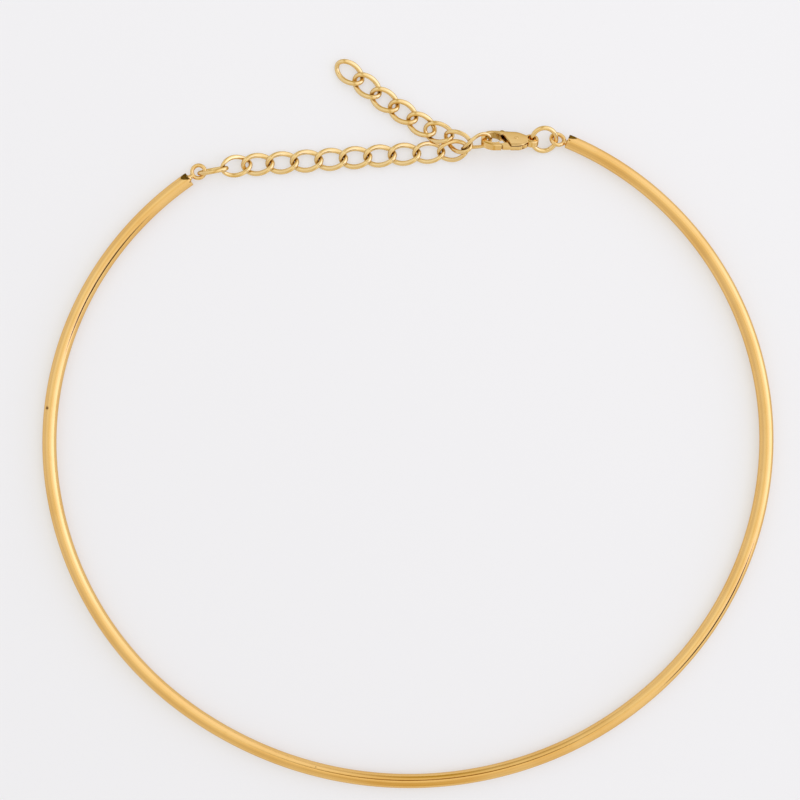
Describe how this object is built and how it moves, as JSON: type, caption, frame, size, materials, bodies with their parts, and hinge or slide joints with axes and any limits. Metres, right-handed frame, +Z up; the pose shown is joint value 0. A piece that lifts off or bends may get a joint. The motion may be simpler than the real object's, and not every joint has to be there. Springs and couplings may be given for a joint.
{
  "type": "choker necklace",
  "caption": "Rigid round-wire collar choker in gold colour, closed at the back by a curb-link extender chain and a lobster clasp with a sprung lever.",
  "frame": {"origin": "middle of the whole outline, on the surface that the choker lies on", "axes": "+Z up off the surface; -Y to the front of the collar, +Y to the chain and clasp at the back; +X to the side that the clasp's jump ring hangs from"},
  "size_m": [0.1302, 0.13, 0.0046],
  "materials": {
    "collar_gold": "polished gold plating",
    "chain_gold": "polished gold plating",
    "clasp_gold": "polished gold plating"
  },
  "bodies": {
    "choker": {"collar": "collar_gold", "end_link": "chain_gold", "chain_link_01": "chain_gold", "chain_link_02": "chain_gold", "chain_link_03": "chain_gold", "chain_link_04": "chain_gold", "chain_link_05": "chain_gold", "chain_link_06": "chain_gold", "chain_link_07": "chain_gold", "chain_link_08": "chain_gold", "chain_link_09": "chain_gold", "chain_link_10": "chain_gold", "hook_link": "chain_gold", "tail_link_1": "chain_gold", "tail_link_2": "chain_gold", "tail_link_3": "chain_gold", "tail_link_4": "chain_gold", "tail_link_5": "chain_gold", "tail_link_6": "chain_gold", "tail_link_7": "chain_gold", "clasp_body": "clasp_gold", "clasp_pin": "clasp_gold", "jump_ring": "chain_gold"},
    "lever": {"clasp_lever": "clasp_gold"}
  },
  "joints": [
    {"name": "clasp_lever", "type": "hinge", "parent": "choker", "child": "lever", "pos_m": [0.02098, 0.04928, 0.00216], "axis": [-0.0947, -0.7403, -0.6656], "range_deg": [0, 28], "stiffness_Nm_per_rad": 0.002}
  ]
}
